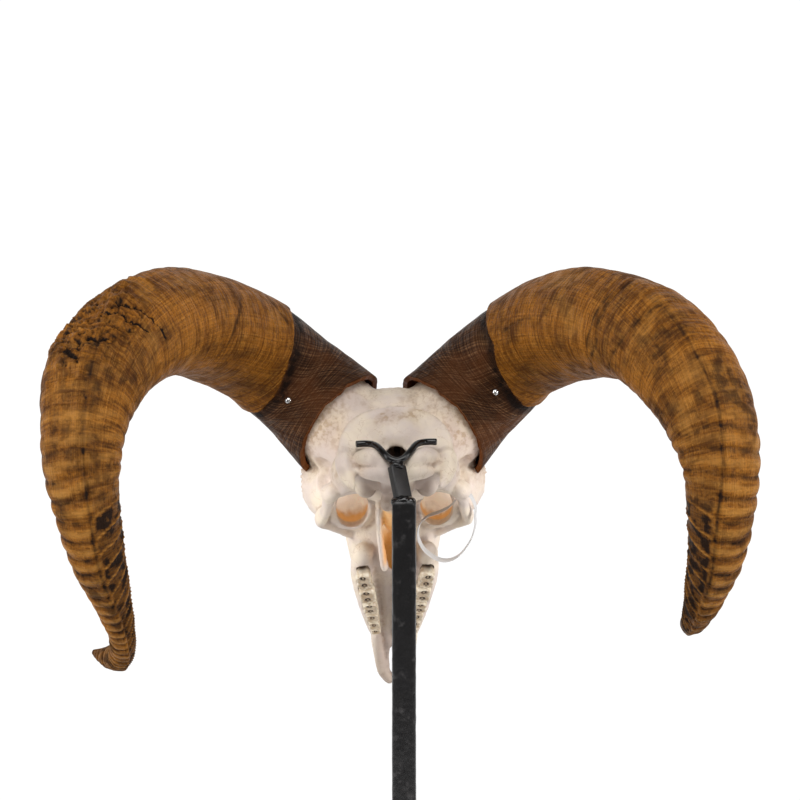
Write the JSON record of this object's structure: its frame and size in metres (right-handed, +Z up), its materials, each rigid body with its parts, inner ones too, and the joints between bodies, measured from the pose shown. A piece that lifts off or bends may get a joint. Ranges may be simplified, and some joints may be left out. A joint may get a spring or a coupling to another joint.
{
  "type": "bighorn sheep skull on a display stand",
  "caption": "Ram's skull with both curled horn sheaths, held nose down on a black steel display stand.",
  "frame": {"origin": "centre of the stand's base plate, on its underside", "axes": "+Z up; the back of the skull faces -Y and the nose points along +Y and down; +X is the ram's right"},
  "size_m": [0.4894, 0.3588, 0.4691],
  "materials": {
    "bone": "dry matt bone",
    "horn": "satin horn keratin",
    "tooth": "stained enamel",
    "screw": "shiny steel",
    "stand": "black hammered paint",
    "tag": "plain satin plastic"
  },
  "bodies": {
    "root": {"skull": "bone", "left_horn_sheath": "horn", "right_horn_sheath": "horn", "left_premolar_1": "tooth", "left_premolar_2": "tooth", "left_premolar_3": "tooth", "left_molar_1": "tooth", "left_molar_2": "tooth", "left_molar_3": "tooth", "right_premolar_1": "tooth", "right_premolar_2": "tooth", "right_premolar_3": "tooth", "right_molar_1": "tooth", "right_molar_2": "tooth", "right_molar_3": "tooth", "left_sheath_screw": "screw", "right_sheath_screw": "screw", "stand_post": "stand", "stand_neck": "stand", "stand_fork": "stand", "stand_base": "stand", "tag_band": "tag"}
  },
  "joints": []
}
